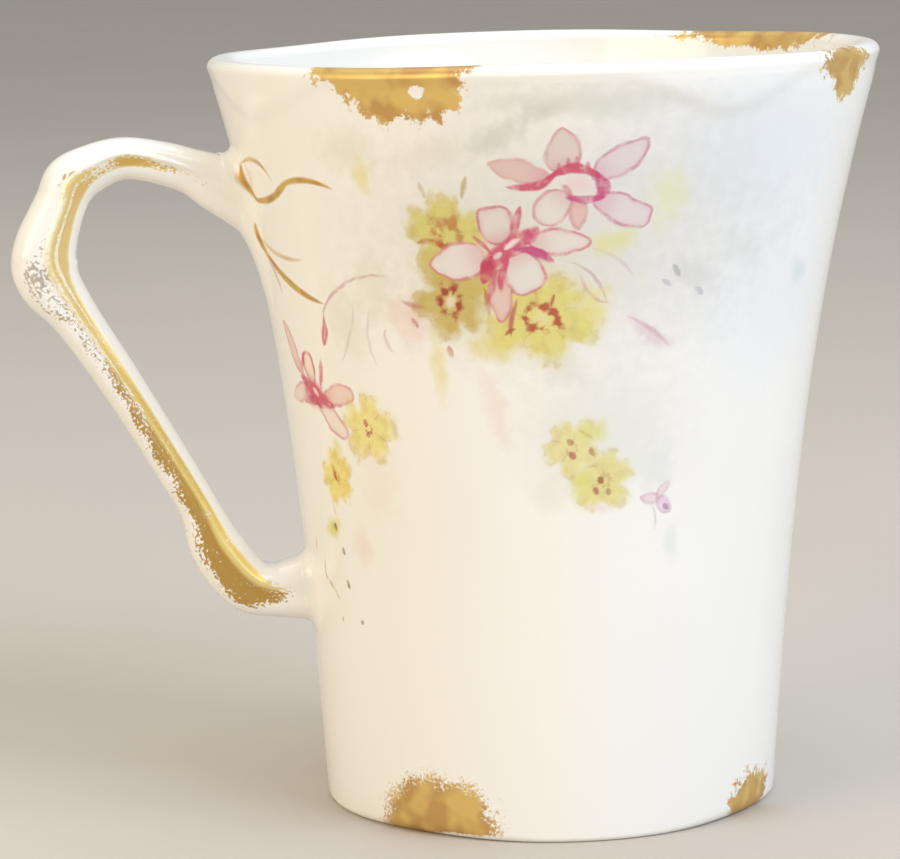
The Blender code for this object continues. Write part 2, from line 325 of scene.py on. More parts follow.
# A wash: a soft blot with a ragged edge
WASH, given, local = brush("wash", Tint=COLOUR, Cover=NUMBER, Ragged=NUMBER)
away = add(WASH, "VectorMath", (local,), operation="LENGTH").outputs["Value"]
ragged = add(WASH, "Math", (given["Grain"], 0.5), operation="SUBTRACT")
away = add(WASH, "Math", (ragged, given["Ragged"], away), operation="MULTIPLY_ADD")
cover = add(WASH, "MapRange", (away, 0.1, 1.15, given["Cover"], 0.0), **SMOOTH)
paint = add(WASH, "MixRGB", (cover, given["Paint"], given["Tint"]))
add(WASH, "NodeGroupOutput", (paint,))

# A small round flower: five lobes with creases between them, a ring of stamens and a pale eye
BLOSSOM, given, local = brush(
    "blossom", Fill=COLOUR, Cover=NUMBER, Crease=COLOUR, Creased=NUMBER, Ring=NUMBER, Stamen=COLOUR,
    Dark=NUMBER, Eye=NUMBER)
away = add(BLOSSOM, "VectorMath", (local,), operation="LENGTH").outputs["Value"]
parts = add(BLOSSOM, "SeparateXYZ", (local,))
around = add(BLOSSOM, "Math", (parts.outputs["Y"], parts.outputs["X"]), operation="ARCTAN2")
lobes = add(BLOSSOM, "Math", (around, 2.5), operation="MULTIPLY")
lobes = add(BLOSSOM, "Math", (lobes,), operation="COSINE")
lobes = add(BLOSSOM, "Math", (lobes,), operation="ABSOLUTE")
reach = add(BLOSSOM, "MapRange", (lobes, 0.0, 0.8, 0.62, 0.86), **SMOOTH)
ragged = add(BLOSSOM, "Math", (given["Grain"], 0.5), operation="SUBTRACT")
reach = add(BLOSSOM, "Math", (ragged, 0.55, reach), operation="MULTIPLY_ADD")
edge = add(BLOSSOM, "Math", (reach, away), operation="SUBTRACT")
fill = add(BLOSSOM, "MapRange", (edge, -0.16, 0.26, 0.0, given["Cover"]), **SMOOTH)
crease = add(BLOSSOM, "MapRange", (lobes, 0.0, 0.2, given["Creased"], 0.0))
rim = add(BLOSSOM, "Math", (edge, 0.05), operation="SUBTRACT")
rim = add(BLOSSOM, "Math", (rim,), operation="ABSOLUTE")
rim = add(BLOSSOM, "MapRange", (rim, 0.02, 0.08, given["Creased"], 0.0))
crease = add(BLOSSOM, "Math", (crease, rim), operation="MAXIMUM")
crease = add(BLOSSOM, "Math", (crease, fill), operation="MULTIPLY")
broken = add(BLOSSOM, "MapRange", (given["Grain"], 0.40, 0.60, 0.0, 1.0))
crease = add(BLOSSOM, "Math", (crease, broken), operation="MULTIPLY")
off_ring = add(BLOSSOM, "Math", (away, given["Ring"]), operation="SUBTRACT")
off_ring = add(BLOSSOM, "Math", (off_ring,), operation="ABSOLUTE")
off_ring = add(BLOSSOM, "Math", (off_ring, given["Ring"]), operation="DIVIDE")
dots = add(BLOSSOM, "Math", (around, 7.0), operation="MULTIPLY")
dots = add(BLOSSOM, "Math", (dots,), operation="SINE")
dots = add(BLOSSOM, "Math", (dots, 0.16, off_ring), operation="MULTIPLY_ADD")
off_ring = add(BLOSSOM, "Math", (ragged, -2.2, dots), operation="MULTIPLY_ADD")
stamens = add(BLOSSOM, "MapRange", (off_ring, 0.00, 0.55, given["Dark"], 0.0), **SMOOTH)
eye = add(BLOSSOM, "Math", (away, given["Ring"]), operation="DIVIDE")
eye = add(BLOSSOM, "MapRange", (eye, 0.20, 0.75, given["Eye"], 0.0), **SMOOTH)
mottle = add(BLOSSOM, "MapRange", (given["Grain"], 0.44, 0.72, 0.0, 0.30))
tone = add(BLOSSOM, "MixRGB", (mottle, given["Fill"], given["Crease"]))
paint = add(BLOSSOM, "MixRGB", (fill, given["Paint"], tone))
paint = add(BLOSSOM, "MixRGB", (crease, paint, given["Crease"]))
paint = add(BLOSSOM, "MixRGB", (eye, paint, linear("#EBDDC6")))
paint = add(BLOSSOM, "MixRGB", (stamens, paint, given["Stamen"]))
add(BLOSSOM, "NodeGroupOutput", (paint,))


def petal(root, tip, half_width, belly=1.0, blunt=0.8, bend=0.0, fill="#F2E4DE", cover=0.85, ink="#CB6C88",
          line=0.75, blush=0.35):
    """One petal as a mark: its brush, its middle, how far it reaches and the brush's settings."""
    run, rise = tip[0] - root[0], tip[1] - root[1]
    length = math.hypot(run, rise)
    middle = ((root[0] + tip[0]) / 2, (root[1] + tip[1]) / 2)
    return PETAL, middle, length / 2 + half_width, {
        "Place": (*root, 0), "Turn": (0, 0, math.atan2(rise, run)), "Size": (length, half_width, 1),
        "Belly": belly, "Blunt": blunt, "Bend": bend, "Fill": linear(fill), "Cover": cover,
        "Ink": linear(ink), "Line": line, "Blush": blush}


def stroke(start, end, width, tint, cover=0.85, bend=0.0, soft=0.3, sway=0.0):
    """One stroke as a mark, from its start to its end."""
    run, rise = end[0] - start[0], end[1] - start[1]
    half = math.hypot(run, rise) / 2
    middle = ((start[0] + end[0]) / 2, (start[1] + end[1]) / 2)
    return STROKE, middle, half + abs(bend) + abs(sway) + width + 1, {
        "Place": (*middle, 0), "Turn": (0, 0, math.atan2(rise, run)), "Size": (half, 1, 1), "Width": width,
        "Bend": bend, "Sway": sway, "Soft": soft, "Tint": linear(tint), "Cover": cover}


def wash(place, half_length, half_width, tint, cover, turn=0.0, ragged=0.9):
    """One wash as a mark, round its middle."""
    return WASH, place, 1.5 * max(half_length, half_width), {
        "Place": (*place, 0), "Turn": (0, 0, math.radians(turn)), "Size": (half_length, half_width, 1),
        "Tint": linear(tint), "Cover": cover, "Ragged": ragged}


def blossom(place, half_length, half_width, fill, cover, ring, dark=0.85, eye=0.0, turn=0.0, stamen="#A8492F",
            crease="#B08A3C", creased=0.45):
    """One small flower as a mark, round its middle."""
    return BLOSSOM, place, 1.3 * max(half_length, half_width), {
        "Place": (*place, 0), "Turn": (0, 0, math.radians(turn)), "Size": (half_length, half_width, 1),
        "Fill": linear(fill), "Cover": cover, "Crease": linear(crease), "Creased": creased, "Ring": ring,
        "Stamen": linear(stamen), "Dark": dark, "Eye": eye}


YELLOW, PALE_YELLOW, OLIVE = "#D3CA70", "#E4DB93", "#C9B466"
LEAF_GREY, LILAC = "#C2C6B8", "#C9BEC4"
ROSE, DEEP_ROSE, MAGENTA, SKIN_PINK = "#C9506C", "#C23A5C", "#BF4A80", "#E9D3CC"

SPRAY = [
    # Two broad bluish washes on the upper right are painted reflection of the cool light on that side, and a
    # long grey band just under the lip is painted shadow under the lip's bead. Then a thin grey ground, and
    # leaves and shadows behind the flowers in grey and yellow
    # Painted reflection: bluish washes over the upper right, where the cool window light falls
    wash((21.0, 68.5), 17.0, 10.0, "#D5DEE6", 0.55, 0, 0.4),
    wash((25.0, 55.0), 16.0, 12.0, "#E0E6EC", 0.45, 0, 0.4),
    # Painted shadow: a long grey band under the bead of the lip
    wash((3.0, 74.2), 12.0, 2.0, "#C9C7BC", 0.55, 0, 0.6),
    wash((2.0, 61.0), 25.0, 15.0, "#D0CFC9", 0.65, 0, 0.5),
    wash((-4.0, 70.8), 3.4, 1.6, LEAF_GREY, 0.55, 25),
    wash((-0.8, 73.0), 3.0, 1.0, LEAF_GREY, 0.45, 20),
    wash((-10.0, 69.0), 6.0, 2.2, "#DAD7C4", 0.45, 15),
    wash((6.5, 73.0), 5.0, 1.5, "#DCDFD6", 0.5, -8),
    wash((-18.5, 69.3), 4.5, 3.0, "#D5D2C0", 0.4),
    wash((-17.2, 66.9), 1.3, 2.3, PALE_YELLOW, 0.75),
    wash((11.4, 64.6), 2.4, 4.2, "#DFE2B2", 0.7, -10),
    wash((6.2, 60.6), 3.2, 1.7, "#DDDA96", 0.75, 10),
    wash((15.0, 57.0), 4.6, 1.8, "#D3D2CF", 0.6, -25),
    wash((20.0, 59.3), 5.0, 2.2, "#D6DCD6", 0.55, -15),
    wash((30.0, 56.0), 2.2, 1.6, "#CFDADA", 0.6, -30),
    wash((25.5, 60.5), 4.0, 1.4, "#DDE3E2", 0.5, 30),
    wash((1.9, 48.0), 3.6, 2.2, "#D9DAD0", 0.5),
    wash((-13.6, 53.0), 3.2, 3.0, "#EBD3CB", 0.75, 60),
    wash((-17.5, 55.5), 3.5, 4.5, "#DDD6C4", 0.45),
    wash((10.6, 51.4), 3.4, 1.1, "#DFC9CE", 0.8, -32),
    wash((-11.1, 48.3), 1.1, 4.4, "#E7DD9B", 0.7),
    wash((-5.3, 44.4), 1.6, 5.0, "#ECD9D2", 0.6, 15),
    wash((8.0, 56.5), 2.6, 3.4, "#DEDCD2", 0.5, 30),
    wash((-4.6, 56.2), 10.0, 8.0, "#DBD2A2", 0.55, 0, 0.8),
    # Yellow flowers
    blossom((-9.2, 61.0), 4.6, 5.3, YELLOW, 0.92, 0.25, 0.65, 0.0, 18, "#B4642F"),
    blossom((-9.3, 54.8), 4.6, 4.1, OLIVE, 0.95, 0.27, 0.95, 0.80, 40, "#A23A30"),
    wash((-10.4, 58.2), 2.4, 2.2, OLIVE, 0.8),
    wash((-5.9, 56.6), 1.9, 2.8, OLIVE, 0.85, -30),
    blossom((-0.4, 53.2), 7.0, 5.2, "#DBD277", 0.92, 0.20, 0.9, 0.35, -12, "#B04238"),
    wash((-4.8, 50.6), 3.6, 2.2, "#DDD47C", 0.85, 12),
    wash((4.6, 54.4), 2.4, 2.9, "#E0D884", 0.8, -20),
    stroke((-11.6, 66.4), (-11.0, 64.9), 0.22, "#B9A07A", 0.6),
    stroke((-7.1, 66.9), (-7.4, 64.8), 0.24, "#AFA050", 0.7),
    stroke((-12.4, 60.4), (-9.8, 60.2), 0.26, "#B26438", 0.75, 0.3),
    stroke((-10.2, 60.6), (-8.6, 59.5), 0.32, "#B6552F", 0.85),
    stroke((-2.7, 55.1), (-3.4, 51.4), 0.30, "#B4555A", 0.8, -0.25),
    stroke((-2.9, 52.2), (-4.2, 51.6), 0.22, "#A94A3C", 0.8),
    stroke((0.9, 55.4), (0.5, 54.2), 0.20, "#B04238", 0.8),
    stroke((1.6, 53.2), (0.4, 52.4), 0.22, "#B5563C", 0.8),
    stroke((-9.9, 50.4), (-9.5, 49.3), 0.30, "#C07C60", 0.7),
    stroke((-5.9, 56.2), (-5.7, 53.4), 0.26, "#A9693C", 0.7, 0.2),
    # Outlines of a leaf and a bud to the right
    stroke((2.4, 58.5), (6.0, 54.8), 0.16, "#BFA6A8", 0.7, 0.6),
    stroke((3.2, 57.2), (6.2, 54.6), 0.16, "#C9A7A9", 0.7, -0.5),
    stroke((4.6, 60.0), (8.4, 57.2), 0.14, "#C6B4B4", 0.6, 0.5),
    stroke((8.2, 53.0), (12.8, 50.0), 0.22, "#C9A2B0", 0.6, 0.35),
    stroke((12.6, 58.0), (13.6, 56.8), 0.34, "#A9A9AE", 0.7),
    stroke((11.6, 56.6), (12.6, 55.9), 0.30, "#B0AEB4", 0.6),
    stroke((15.2, 55.8), (16.2, 54.9), 0.30, "#AEA9B4", 0.6),
    stroke((-16.9, 51.8), (-16.2, 49.4), 0.18, "#CFA9A2", 0.6, -0.3),
    stroke((-14.6, 54.6), (-11.8, 53.9), 0.24, "#C08478", 0.65, -0.2),
    stroke((-13.6, 53.0), (-12.9, 52.0), 0.26, "#B9706A", 0.7),
    # Upper pink flower
    petal((0.8, 66.9), (-4.8, 68.3), 1.15, 1.0, 0.8, -0.3, "#DBBDB4", 0.9, "#CE8C96", 0.45, 0.5),
    petal((1.9, 67.0), (1.4, 71.7), 1.85, 0.85, 0.85, 0.1, "#DACAC2", 0.9, "#C97E90", 0.6, 0.45),
    petal((4.3, 66.7), (9.3, 70.5), 1.55, 0.95, 0.85, 0.25, "#DDD2D1", 0.9, "#C46C88", 0.6, 0.35),
    petal((4.4, 64.7), (10.0, 62.6), 1.55, 1.15, 0.42, 0.0, "#DFD3D2", 0.92, "#C46C88", 0.65, 0.35),
    petal((3.1, 65.0), (3.2, 61.7), 0.85, 1.0, 0.6, 0.0, "#DFBBB2", 0.9, "#CC7E8C", 0.5, 0.5),
    petal((2.1, 65.5), (-0.7, 62.4), 1.75, 1.05, 0.5, 0.1, "#DFDAD2", 0.95, ROSE, 0.5, 0.3),
    wash((3.3, 66.1), 1.9, 1.1, "#E6CFCF", 0.9, -8, 0.3),
    stroke((-3.3, 66.0), (1.4, 67.3), 0.46, ROSE, 0.95, -0.55),
    stroke((0.3, 66.6), (5.5, 66.8), 0.52, ROSE, 0.95, 0.9),
    stroke((4.7, 67.6), (4.7, 64.4), 0.62, "#C54A76", 0.92, 0.65),
    stroke((5.5, 64.9), (1.9, 64.9), 0.44, "#C04A7E", 0.9, 0.25),
    stroke((2.4, 64.7), (1.8, 66.1), 0.28, ROSE, 0.85, -0.1),
    stroke((1.3, 68.2), (1.5, 67.3), 0.20, ROSE, 0.75),
    stroke((2.2, 68.7), (2.2, 67.7), 0.20, ROSE, 0.75),
    stroke((3.1, 68.8), (3.0, 67.8), 0.20, ROSE, 0.75),
    stroke((4.1, 68.4), (3.9, 67.5), 0.20, ROSE, 0.75),
    # Lower pink flower
    wash((-3.4, 59.4), 3.8, 3.0, "#DDB2B2", 0.6, 20, 0.7),
    petal((-4.1, 58.3), (-4.5, 52.7), 1.25, 0.9, 0.6, 0.1, "#DFC4BC", 0.96, ROSE, 0.6, 0.5),
    petal((-3.9, 60.5), (-4.9, 64.2), 1.75, 1.15, 0.38, 0.0, "#DDD4CD", 0.97, ROSE, 0.7, 0.4),
    petal((-5.7, 59.3), (-11.1, 58.2), 1.95, 0.8, 0.85, 0.0, "#E5DED8", 0.98, ROSE, 0.6, 0.3),
    petal((-2.8, 59.5), (-1.2, 55.6), 1.95, 1.1, 0.36, 0.0, "#E0DDD6", 0.98, ROSE, 0.65, 0.3),
    petal((-1.7, 60.5), (4.5, 60.6), 1.35, 0.9, 0.75, -0.2, "#E2DAD3", 0.97, ROSE, 0.65, 0.3),
    stroke((-0.7, 62.1), (-6.2, 57.9), 0.85, ROSE, 0.92, 0.0, 0.5),
    stroke((-2.7, 61.2), (-2.2, 64.2), 0.46, ROSE, 0.9, 0.1),
    stroke((-0.6, 62.0), (-2.0, 60.4), 0.55, "#C94E78", 0.8),
    stroke((-5.0, 59.4), (-6.9, 61.3), 0.30, ROSE, 0.85, -0.15),
    stroke((-4.9, 59.2), (-6.1, 56.6), 0.70, DEEP_ROSE, 0.9, -0.1),
    stroke((-3.0, 60.0), (0.9, 58.7), 0.40, MAGENTA, 0.95, 0.3),
    stroke((-3.4, 59.5), (-4.3, 55.8), 0.34, ROSE, 0.9, -0.25),
    stroke((-4.7, 58.6), (-5.5, 54.8), 0.24, "#C2606A", 0.75, 0.2),
    stroke((-2.3, 61.0), (-3.7, 60.0), 0.26, "#EFDCDB", 0.95),
    stroke((-4.0, 59.7), (-4.8, 59.0), 0.22, "#E9CFCF", 0.9),
]

SPRIG_BY_HANDLE = [
    wash((-22.0, 52.0), 3.4, 5.0, "#DDD9CB", 0.5, 20),
    wash((-20.0, 36.0), 4.0, 6.0, "#EEE2D8", 0.5),
    wash((-23.6, 29.0), 2.2, 2.4, "#EDD8CF", 0.6),
    stroke((-20.8, 54.2), (-23.6, 48.0), 0.18, LILAC, 0.55, 0.5),
    stroke((-18.4, 53.6), (-18.4, 48.0), 0.18, LILAC, 0.5, -0.7),
    stroke((-16.2, 57.0), (-26.0, 50.4), 0.20, "#C79AA0", 0.7, -2.3, 0.3, -0.5),
    petal((-25.3, 52.4), (-26.2, 49.4), 0.45, 1.2, 0.7, 0.0, "#DFA9A8", 0.85, ROSE, 0.7, 0.2),
    petal((-31.2, 45.3), (-34.9, 51.2), 0.95, 0.9, 0.8, -0.15, "#EBC6BC", 0.8, ROSE, 0.6, 0.4),
    petal((-30.8, 44.6), (-35.6, 43.2), 0.95, 1.0, 0.6, 0.0, "#EBD6C8", 0.8, ROSE, 0.45, 0.45),
    petal((-29.2, 43.8), (-24.0, 40.2), 1.15, 1.15, 0.5, 0.1, "#EFE0D8", 0.85, ROSE, 0.5, 0.2),
    petal((-27.6, 44.3), (-22.4, 44.6), 1.15, 1.2, 0.42, 0.0, "#EDD0C6", 0.9, ROSE, 0.5, 0.35),
    petal((-29.6, 44.9), (-30.2, 48.6), 1.05, 1.15, 0.55, 0.3, "#F0E4D3", 0.95, ROSE, 0.85, 0.3),
    wash((-29.4, 44.2), 3.0, 1.7, ROSE, 0.95, -14, 0.9),
    stroke((-32.4, 45.6), (-25.8, 43.2), 0.75, ROSE, 0.92, -0.1, 0.5),
    stroke((-32.2, 43.2), (-28.2, 42.9), 0.50, DEEP_ROSE, 0.85, 0.5),
    stroke((-28.2, 44.8), (-27.2, 47.8), 0.34, "#CF6C7C", 0.85, -0.1),
    stroke((-31.4, 46.2), (-30.6, 48.4), 0.30, ROSE, 0.8),
    stroke((-29.9, 44.7), (-28.8, 44.0), 0.26, "#F0CFCB", 0.95),
    blossom((-20.8, 41.4), 4.4, 4.1, "#EBDF8C", 0.92, 0.10, 0.8, 0.0, 10, "#B5573E"),
    stroke((-21.3, 42.4), (-21.0, 41.6), 0.34, "#A9472F", 0.85),
    stroke((-21.2, 41.0), (-20.8, 40.5), 0.30, "#B2553C", 0.85),
    blossom((-27.2, 35.9), 3.6, 3.3, "#ECDC78", 0.92, 0.12, 0.4, 0.0, 30, "#B5573E"),
    stroke((-27.9, 37.0), (-27.4, 35.4), 0.30, "#A4552B", 0.85, 0.1),
    wash((-26.3, 38.8), 0.9, 1.4, "#E3DA8A", 0.7),
    wash((-29.4, 30.4), 2.0, 1.5, "#DACF66", 0.95, 25),
    stroke((-29.0, 31.1), (-28.5, 30.2), 0.30, "#7C7A2E", 0.85),
    stroke((-27.5, 28.7), (-27.3, 27.8), 0.30, "#7D7250", 0.85),
    stroke((-27.4, 25.2), (-26.9, 24.3), 0.32, "#8A7A54", 0.85),
    stroke((-32.4, 26.8), (-32.4, 24.6), 0.18, "#A7A45E", 0.75, -0.3),
    stroke((-32.6, 25.2), (-29.4, 23.1), 0.18, "#A7A45E", 0.75, -0.2),
    stroke((-34.7, 28.8), (-34.8, 27.0), 0.18, "#B3AE7C", 0.6),
    stroke((-29.3, 21.2), (-29.1, 20.6), 0.22, "#A79C86", 0.7),
    stroke((-25.0, 21.4), (-24.8, 20.8), 0.28, "#8F8170", 0.8),
    stroke((-28.6, 33.4), (-28.2, 31.8), 0.16, "#C9A5A0", 0.55),
]

SPRIG_BELOW = [
    wash((6.0, 42.0), 12.0, 9.0, "#D8D9D3", 0.5, 0, 0.6),
    wash((0.6, 36.2), 3.0, 3.0, "#E6E5D6", 0.6),
    wash((12.2, 38.0), 2.6, 3.4, "#DDE0DA", 0.55),
    wash((14.4, 30.2), 1.2, 2.6, "#DFE4DE", 0.6),
    blossom((2.6, 40.3), 3.6, 3.4, "#E0D88A", 0.82, 0.14, 0.25, 0.0, 50, "#B06A45"),
    wash((5.0, 41.9), 2.4, 1.5, "#DAD78A", 0.85, 10),
    stroke((2.0, 41.1), (2.7, 40.7), 0.30, "#A9704A", 0.85),
    stroke((2.4, 39.9), (3.0, 39.4), 0.36, "#B4685A", 0.85),
    stroke((4.5, 40.4), (5.0, 39.3), 0.30, "#B97A66", 0.8),
    stroke((3.2, 42.2), (5.0, 41.2), 0.16, "#B39B58", 0.6),
    blossom((6.2, 36.9), 4.2, 3.5, "#DFD57C", 0.82, 0.14, 0.25, 0.0, 20, "#A8583C"),
    wash((3.6, 36.4), 1.4, 2.6, "#DBD67A", 0.8),
    stroke((5.4, 37.3), (6.0, 36.6), 0.34, "#A6592F", 0.85),
    stroke((5.0, 36.2), (5.7, 35.6), 0.28, "#A9654C", 0.8),
    stroke((6.4, 36.2), (6.9, 35.6), 0.26, "#94714A", 0.75),
    wash((5.8, 34.2), 1.6, 0.8, "#EED9D0", 0.7),
    petal((10.2, 35.0), (13.0, 34.8), 0.6, 1.0, 0.7, 0.0, "#E6D3D8", 0.7, "#C793A6", 0.45, 0.4),
    petal((12.4, 34.7), (13.8, 36.4), 0.6, 1.0, 0.6, 0.0, "#E4D2D4", 0.65, "#C793A6", 0.35, 0.3),
    petal((12.6, 34.9), (13.9, 33.2), 0.8, 1.0, 0.6, 0.0, "#E8CFDC", 0.8, "#C29AB2", 0.4, 0.3),
    stroke((13.2, 34.2), (13.7, 33.6), 0.30, "#A07A92", 0.8),
    stroke((12.0, 34.4), (12.3, 31.4), 0.16, "#C3C8BE", 0.6),
]

# A small sprig on the side that the front doesn't show, as such cups often have
SPRIG_BEHIND = [
    wash((75.0, 53.5), 4.6, 3.4, "#DDDACB", 0.5),
    wash((80.0, 47.0), 2.4, 5.0, "#EADBD2", 0.5, 12),
    blossom((77.4, 50.4), 4.2, 3.9, YELLOW, 0.92, 0.28, 0.8, 0.3, 25),
    blossom((71.6, 49.2), 3.6, 3.3, "#DBD277", 0.92, 0.26, 0.75, 0.2, 60),
    petal((74.2, 55.0), (69.2, 57.0), 1.4, 0.95, 0.8, 0.2, "#ECDDDC", 0.9, ROSE, 0.65, 0.4),
    petal((74.6, 55.4), (73.2, 60.2), 1.6, 0.9, 0.8, 0.0, SKIN_PINK, 0.9, ROSE, 0.65, 0.4),
    petal((75.2, 55.2), (79.4, 58.4), 1.5, 0.95, 0.6, 0.1, "#EEE0E0", 0.9, ROSE, 0.65, 0.35),
    petal((75.2, 54.6), (79.0, 53.2), 1.4, 1.1, 0.45, 0.0, "#EFE4DA", 0.92, ROSE, 0.55, 0.3),
    petal((74.5, 54.5), (72.2, 51.6), 1.5, 1.1, 0.45, 0.0, "#EFE6DA", 0.92, ROSE, 0.55, 0.3),
    stroke((73.2, 55.9), (76.2, 54.3), 0.70, ROSE, 0.9, 0.0, 0.5),
    stroke((74.2, 55.3), (75.2, 54.8), 0.24, "#EFDCDB", 0.95),
    stroke((79.6, 47.6), (82.4, 41.8), 0.18, "#A7A45E", 0.7, 0.6),
    petal((82.2, 42.2), (83.2, 39.6), 0.6, 1.1, 0.6, 0.0, "#E4C3C0", 0.9, ROSE, 0.6, 0.3),
]

# Gold scrolls that trail over the wall from the handle's upper root
LAID, WIPED = "#FFFFFF", "#000000"
GOLD_SCROLLS = [
    stroke((-37.0, 67.0), (-34.1, 63.1), 0.40, LAID, 1.0, -1.0, 0.5),
    stroke((-35.7, 63.4), (-27.2, 65.7), 0.36, LAID, 1.0, -0.8),
    stroke((-30.0, 64.5), (-21.0, 65.4), 0.30, LAID, 1.0, 1.05),
    stroke((-36.9, 67.0), (-30.1, 65.7), 0.26, LAID, 0.8, 1.2, 0.3, 0.4),
    stroke((-36.5, 60.9), (-35.0, 57.1), 0.30, LAID, 1.0, -0.6),
    stroke((-36.6, 58.5), (-25.2, 53.7), 0.40, LAID, 1.0, -0.7),
    stroke((-36.5, 59.3), (-27.6, 57.9), 0.24, LAID, 0.6, -0.6, 0.4),
    stroke((-36.2, 57.7), (-33.4, 54.0), 0.24, LAID, 0.6, 0.5, 0.4),
]

# Gold dabbed on with a sponge, and wiped thin here and there: four patches round the lip and four at the foot
GOLD_DABS = [
    wash((-18.4, 77.2), 5.4, 2.6, LAID, 1.0),
    wash((-14.0, 75.5), 6.4, 4.9, LAID, 1.0),
    wash((-9.6, 75.6), 4.4, 4.6, LAID, 1.0),
    wash((-7.4, 77.8), 3.4, 1.3, LAID, 0.9),
    wash((-10.8, 75.2), 1.5, 1.1, WIPED, 0.9),
    wash((32.8, 76.5), 7.4, 2.4, LAID, 1.0),
    wash((33.2, 74.8), 3.2, 3.2, LAID, 1.0),
    wash((67.6, 76.2), 12.8, 4.4, LAID, 1.0),
    wash((-59.2, 76.4), 11.2, 3.8, LAID, 1.0),
    wash((-15.0, 0.5), 13.6, 9.0, LAID, 1.0, 0, 0.2),
    wash((-10.5, 0.0), 9.0, 0.9, WIPED, 0.8, 0, 0.5),
    wash((31.5, 1.8), 9.0, 4.6, LAID, 0.85),
    wash((67.0, 2.0), 11.4, 7.4, LAID, 1.0),
    wash((-60.0, 1.8), 10.6, 6.6, LAID, 0.95),
]
GOLD_DABS_INSIDE = [
    wash((-14.0, 78.2), 11.0, 1.4, LAID, 1.0),
    wash((31.0, 78.2), 5.0, 0.9, LAID, 0.9),
    wash((68.2, 78.0), 15.4, 2.9, LAID, 1.0),
    wash((-60.0, 78.3), 14.0, 1.4, LAID, 0.9),
]

# The wall is divided into panels, so that each material holds only the marks that reach its panel
PANELS = (
    ("enamelled_glaze_upper_front", SPRAY, [], (-15.0, 48.0), (64.4, 76.0)),
    ("enamelled_glaze_left_front", SPRAY + SPRIG_BY_HANDLE, [], (-15.0, -5.6), (41.0, 64.4)),
    ("enamelled_glaze_upper_middle", SPRAY, [], (-5.6, 2.4), (57.6, 64.4)),
    ("enamelled_glaze_middle_front", SPRAY + SPRIG_BELOW, [], (-5.6, 2.4), (41.0, 57.6)),
    ("enamelled_glaze_right_front", SPRAY + SPRIG_BELOW, [], (2.4, 48.0), (41.0, 64.4)),
    ("enamelled_glaze_below", SPRAY + SPRIG_BELOW, [], (-15.0, 48.0), (26.0, 41.0)),
    ("enamelled_glaze_by_handle", SPRAY + SPRIG_BY_HANDLE, GOLD_SCROLLS, (-48.0, -15.0), (17.0, 76.0)),
    ("enamelled_glaze_behind", SPRIG_BEHIND, [], (64.0, 90.0), (36.0, 64.0)),
)
PAINTED_RADIUS = 29.5
FRONT_TURN = math.radians(12)
WOBBLE_MARGIN = 1.5
PORCELAIN_WHITE, PORCELAIN_CREAM = "#F4F3EE", "#F0EEE6"
# The palest gold is painted highlight, which the handle lays on its crests, ribs and the gilding's inner edge
GOLD_TAN, GOLD_BRIGHT, GOLD_HIGHLIGHT = "#C4964A", "#DDBA64", "#EEDF96"
GOLD_METALLIC = 0.45
GLAZE_IOR = 1.5
# Sizes of the patterns in millimetres: clouds in the clay, ripples of the glaze, a hand's wobble, the broken
# edge of a nearly dry brush, and the patches and stipple that a sponge leaves
CLOUD, RIPPLE, WOBBLE, DRY_BRUSH, SPONGE_PATCH, SPONGE_STIPPLE = 16.7, 5.88, 3.125, 1.25, 2.38, 0.2941


def cells(size):
    """The scale of a noise texture, in cells to the metre, for a pattern of this size in millimetres."""
    return MILLIMETRES / size


def new_material(name):
    """A new material, its node tree, its shader, and the place on the piece that its patterns follow."""
    material = bpy.data.materials.new(name)
    material.use_nodes = True
    tree = material.node_tree
    return material, tree, tree.nodes["Principled BSDF"], add(tree, "TexCoord").outputs["Object"]


